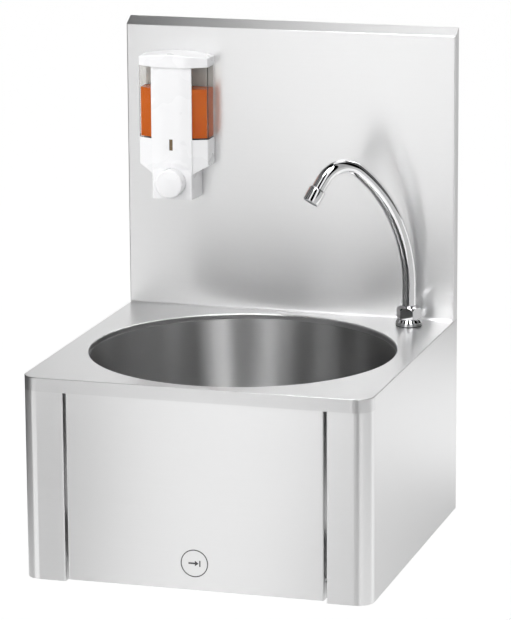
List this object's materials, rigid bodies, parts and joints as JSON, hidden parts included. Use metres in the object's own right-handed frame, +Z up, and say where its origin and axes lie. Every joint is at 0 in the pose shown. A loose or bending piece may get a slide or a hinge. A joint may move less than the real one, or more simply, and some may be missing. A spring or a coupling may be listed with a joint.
{
  "type": "hand wash sink",
  "caption": "Wall-hung stainless steel hand wash sink with a round bowl, a knee-operated front panel, a swivel spout and a wall soap dispenser on its backsplash.",
  "frame": {"origin": "on the wall plane, at the centre of the four wall fixing holes", "axes": "+X to the right as seen by the user, +Y into the wall, +Z up"},
  "size_m": [0.4, 0.4, 0.5774],
  "materials": {
    "brushed_sheet": "fine brushed, grain upright on the front",
    "bowl_steel": "satin drawn steel",
    "rail_steel": "mill finish",
    "pin_steel": "turned",
    "nylon": "natural nylon",
    "black_rubber": "matt",
    "valve_brass": "turned and pressed",
    "nickelled_brass": "nickel plated",
    "spring_steel": "drawn wire",
    "grey_plastic": "moulded",
    "black_plastic": "moulded",
    "hose_braid": "woven steel braid",
    "polished_chrome": "mirror polished",
    "white_moulding": "smooth gloss",
    "clear_plastic": "clear moulded plastic",
    "soap": "amber liquid soap"
  },
  "bodies": {
    "casing": {"deck": "brushed_sheet", "bowl": "bowl_steel", "side_panel_left": "brushed_sheet", "side_panel_right": "brushed_sheet", "backsplash": "brushed_sheet", "rear_rail": "rail_steel", "valve_rail": "rail_steel", "hinge_pins": "pin_steel", "hinge_washers": "nylon", "stop_pins": "pin_steel", "valve_body": "valve_brass", "valve_locknut": "valve_brass", "valve_spring": "spring_steel", "inlet_check_valves": "grey_plastic", "hose": "hose_braid", "hose_nut_valve": "nickelled_brass", "hose_nut_spout": "nickelled_brass", "spout_gasket": "black_rubber", "spout_base": "polished_chrome", "spout_o_ring": "black_rubber", "spout_backing_washer": "rail_steel", "spout_backnut": "valve_brass", "spout_union_nut": "polished_chrome", "spout_slip_ring": "nylon", "waste_strainer": "polished_chrome", "waste_screw": "pin_steel", "waste_gasket_upper": "black_rubber", "waste_gasket_lower": "black_rubber", "waste_cup": "white_moulding", "soap_wall_plate": "white_moulding", "soap_plate_screws": "pin_steel", "soap_plate_nuts": "pin_steel", "soap_tank": "clear_plastic", "soap_fill": "soap", "soap_cover": "white_moulding", "soap_sight_window": "soap", "soap_spring": "spring_steel", "soap_pump_body": "grey_plastic", "soap_nozzle": "grey_plastic"},
    "panel": {"push_panel": "brushed_sheet", "striker_pad": "black_rubber"},
    "plunger": {"valve_plunger": "nickelled_brass", "valve_seal": "black_rubber"},
    "mixer": {"mixer_spindle": "nickelled_brass", "mixer_knob": "black_plastic"},
    "spout": {"spout_tube": "polished_chrome", "aerator_housing": "polished_chrome", "aerator_insert": "grey_plastic", "aerator_gasket": "black_rubber"},
    "soap_lid": {"soap_lid": "white_moulding"},
    "soap_button": {"soap_button": "white_moulding", "soap_piston": "nylon"}
  },
  "joints": [
    {"name": "panel_hinge", "type": "hinge", "parent": "casing", "child": "panel", "pos_m": [0, -0.386, 0.1], "axis": [1, 0, 0], "range_deg": [0, 3.2], "stiffness_Nm_per_rad": 6, "springref_deg": -2.86},
    {"name": "plunger_slide", "type": "slide", "parent": "casing", "child": "plunger", "axis": [0, 1, 0], "range_m": [0, 0.0104], "stiffness_N_per_m": 300, "springref_m": -0.004, "deforming": ["valve_spring"]},
    {"name": "mixer_turn", "type": "hinge", "parent": "casing", "child": "mixer", "pos_m": [0, -0.325, -0.112], "axis": [0, 0, 1], "range_deg": [-90, 90]},
    {"name": "spout_swivel", "type": "hinge", "parent": "casing", "child": "spout", "pos_m": [0.154, -0.048, 0.12], "axis": [0, 0, 1], "range_deg": [-45, 135]},
    {"name": "soap_lid_lift", "type": "slide", "parent": "casing", "child": "soap_lid", "axis": [0, 0, 1], "range_m": [0, 0.02]},
    {"name": "soap_button_push", "type": "slide", "parent": "casing", "child": "soap_button", "axis": [0, 1, 0], "range_m": [0, 0.006], "stiffness_N_per_m": 250, "springref_m": -0.004, "deforming": ["soap_spring"]}
  ],
  "couplings": [
    {"joint": "plunger_slide", "follows": "panel_hinge", "m_per_rad": 0.184}
  ]
}
